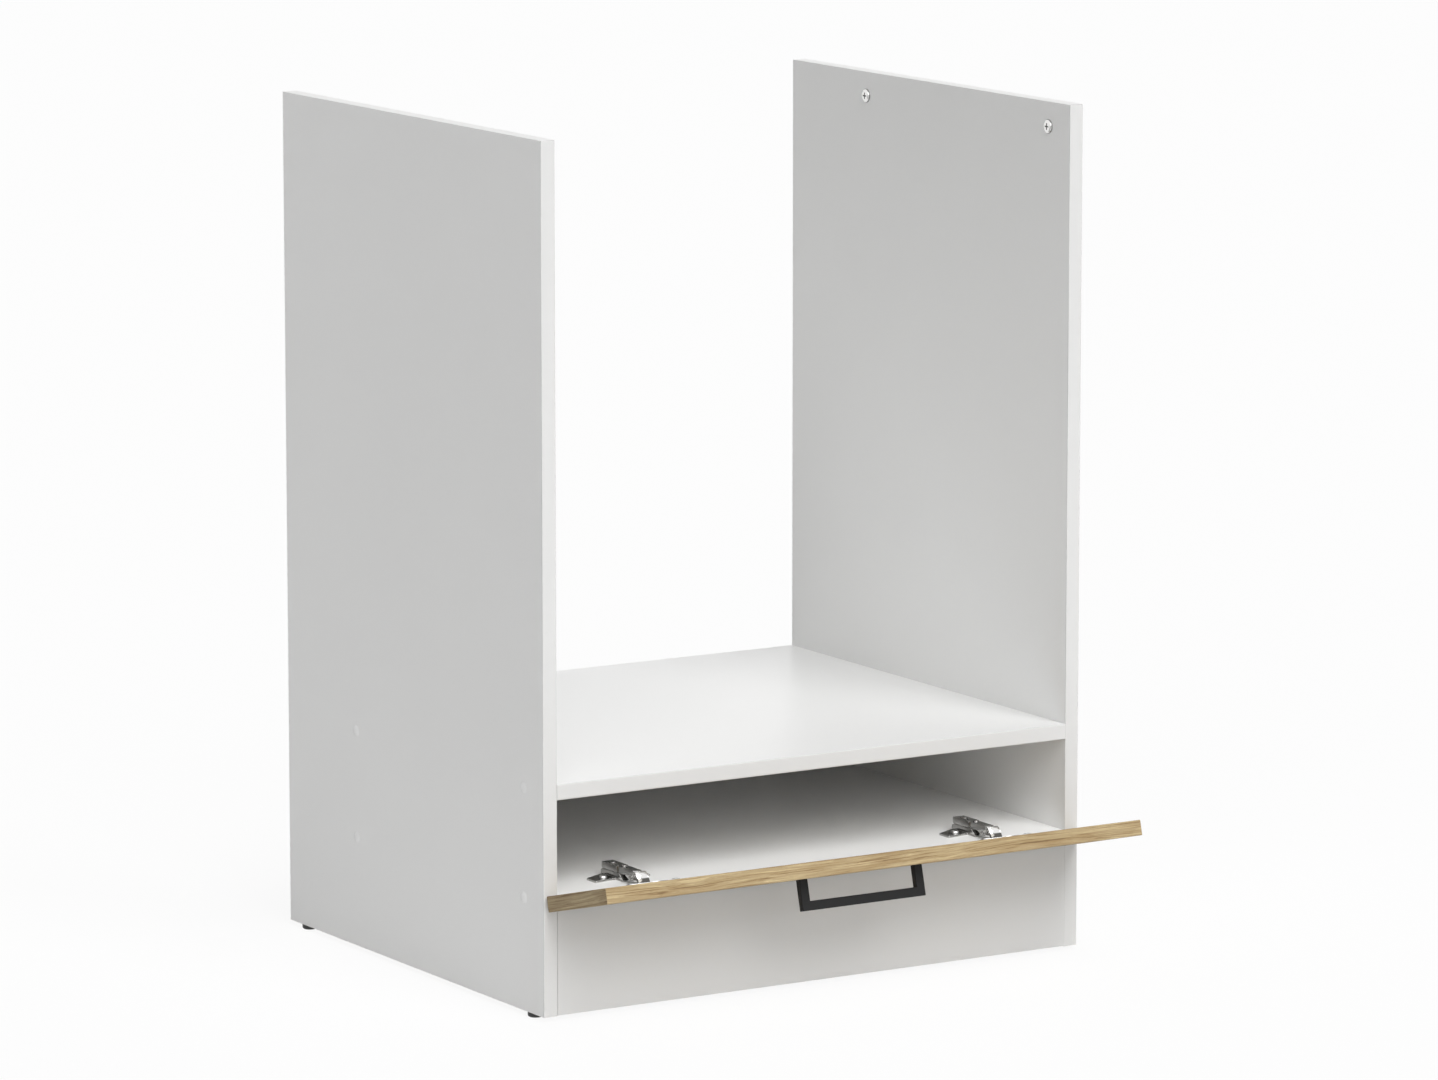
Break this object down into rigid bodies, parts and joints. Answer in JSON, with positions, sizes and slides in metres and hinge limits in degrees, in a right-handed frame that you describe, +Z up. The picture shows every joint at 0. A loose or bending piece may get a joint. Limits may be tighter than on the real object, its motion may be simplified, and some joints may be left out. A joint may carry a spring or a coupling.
{
  "type": "built-in oven housing cabinet",
  "caption": "Kitchen base cabinet that houses a built-in oven: open niche with a shelf over a low storage compartment, whose flap front folds down on concealed hinges.",
  "frame": {"origin": "middle of the overall box's base, on the floor under the feet, in the plane midway between the two side panels, with the flap at rest partly open", "axes": "+X to the right as seen from the front, +Y from the flap towards the back, +Z up"},
  "size_m": [0.603, 0.6169, 0.828],
  "materials": {
    "white_laminate": "satin white laminate on board, edges banded",
    "fibreboard": "thin fibreboard, painted white inside",
    "beech": "raw fluted beech",
    "oak_decor": "oak decor with fine grain, banded edges",
    "zinc_steel": "bright zinc-plated steel",
    "nickel_steel": "nickel-plated pressed steel",
    "black_metal": "matt black powder coat",
    "black_plastic": "matt black plastic",
    "white_plastic": "matt white plastic"
  },
  "bodies": {
    "carcass": {"side_panel_left": "white_laminate", "side_panel_right": "white_laminate", "oven_shelf": "white_laminate", "bottom_panel": "white_laminate", "plinth_board": "white_laminate", "back_panel": "fibreboard", "back_nails": "zinc_steel", "wood_dowels": "beech", "carcass_screws": "zinc_steel", "cover_caps": "white_plastic", "feet": "black_plastic", "foot_nails": "zinc_steel", "plinth_brackets": "zinc_steel", "bracket_screws": "zinc_steel", "connector_screws": "zinc_steel", "connector_sleeves": "zinc_steel", "mounting_plate_left": "nickel_steel", "mounting_plate_right": "nickel_steel", "plate_screws": "zinc_steel", "hinge_arm_left": "nickel_steel", "hinge_arm_right": "nickel_steel", "arm_pins": "nickel_steel", "depth_screws": "zinc_steel", "overlay_screws": "zinc_steel"},
    "outer_links": {"outer_link_left": "nickel_steel", "outer_link_right": "nickel_steel"},
    "inner_links": {"inner_link_left": "nickel_steel", "inner_link_right": "nickel_steel"},
    "flap": {"flap_front": "oak_decor", "hinge_cup_left": "nickel_steel", "hinge_cup_right": "nickel_steel", "cup_screws": "zinc_steel", "cup_pins": "nickel_steel", "handle": "black_metal", "handle_screws": "zinc_steel"}
  },
  "joints": [
    {"name": "outer_link_hinge", "type": "hinge", "parent": "carcass", "child": "outer_links", "pos_m": [0, -0.19855, 0.1302], "axis": [1, 0, 0], "range_deg": [-2.65, 13.65]},
    {"name": "flap_hinge", "type": "hinge", "parent": "outer_links", "child": "flap", "pos_m": [0, -0.20701, 0.1165], "axis": [1, 0, 0], "range_deg": [-89.09, 17.11]},
    {"name": "inner_link_hinge", "type": "hinge", "parent": "carcass", "child": "inner_links", "pos_m": [0, -0.18835, 0.1264], "axis": [1, 0, 0], "range_deg": [-5.5, 28.4]}
  ],
  "couplings": [
    {"joint": "outer_link_hinge", "follows": "flap_hinge", "ratio": -0.15254},
    {"joint": "inner_link_hinge", "follows": "flap_hinge", "ratio": -0.3178}
  ]
}
